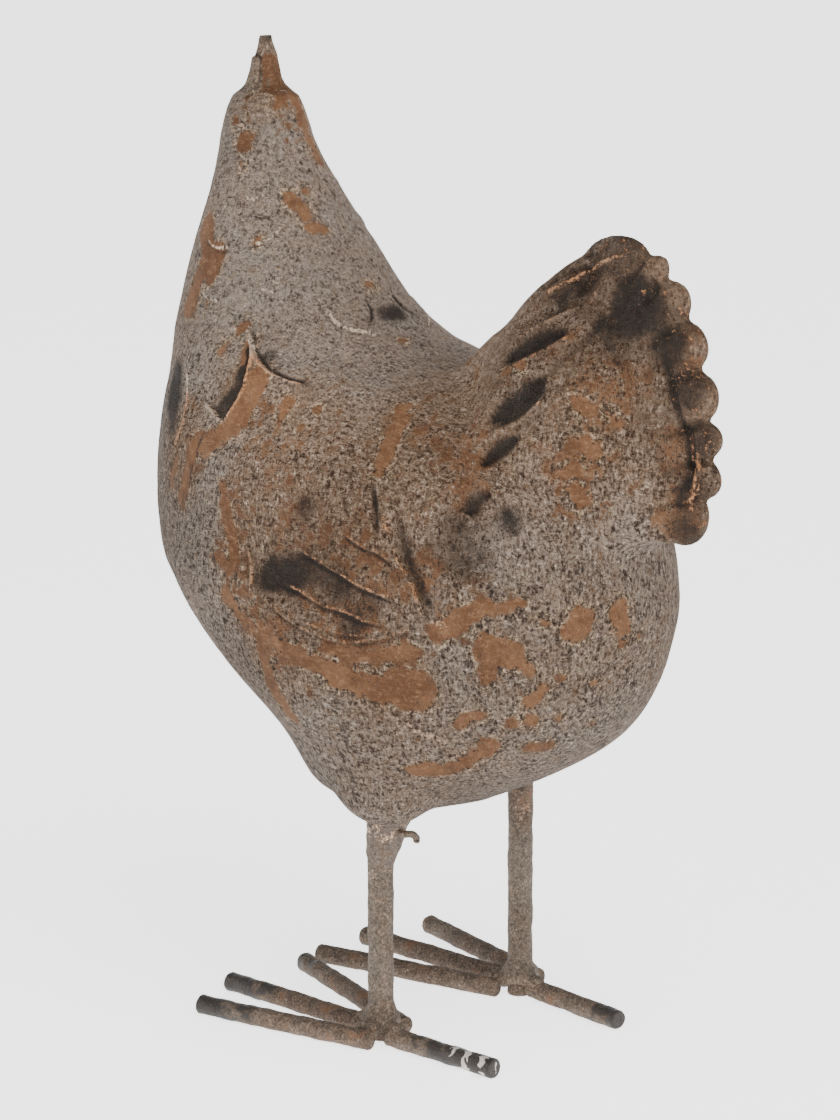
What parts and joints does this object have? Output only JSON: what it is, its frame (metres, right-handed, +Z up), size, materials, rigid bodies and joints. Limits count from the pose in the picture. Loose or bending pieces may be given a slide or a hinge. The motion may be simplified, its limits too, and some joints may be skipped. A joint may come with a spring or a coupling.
{
  "type": "garden hen ornament",
  "caption": "Static hen figure: hollow cast body with fan tail and raised beak, set on two rod legs with welded rod toes.",
  "frame": {"origin": "on the floor under the middle of the overall outline", "axes": "+Z up, the hen faces -Y, its left side is +X"},
  "size_m": [0.1342, 0.2406, 0.328],
  "materials": {
    "cast_stone": "rough speckled grey-brown cast stone with rust-brown patches and dark patina in the recesses",
    "mortar": "rough grey filler",
    "coated_iron": "rough matt coat over rusty bar, black at some tips",
    "weld_bead": "lumpy rusty weld",
    "bare_iron": "rusty bar",
    "tie_wire": "dark rusty wire"
  },
  "bodies": {
    "root": {"body_casting": "cast_stone", "belly_plug": "mortar", "left_leg_collar": "mortar", "right_leg_collar": "mortar", "left_leg_rod": "coated_iron", "right_leg_rod": "coated_iron", "left_outer_toe": "coated_iron", "left_middle_toe": "coated_iron", "left_inner_toe": "coated_iron", "left_hind_toe": "coated_iron", "right_outer_toe": "coated_iron", "right_middle_toe": "coated_iron", "right_inner_toe": "coated_iron", "right_hind_toe": "coated_iron", "left_ankle_weld": "weld_bead", "right_ankle_weld": "weld_bead", "armature_crossbar": "bare_iron", "left_armature_tie": "tie_wire", "right_armature_tie": "tie_wire", "left_wire_stub": "tie_wire"}
  },
  "joints": []
}
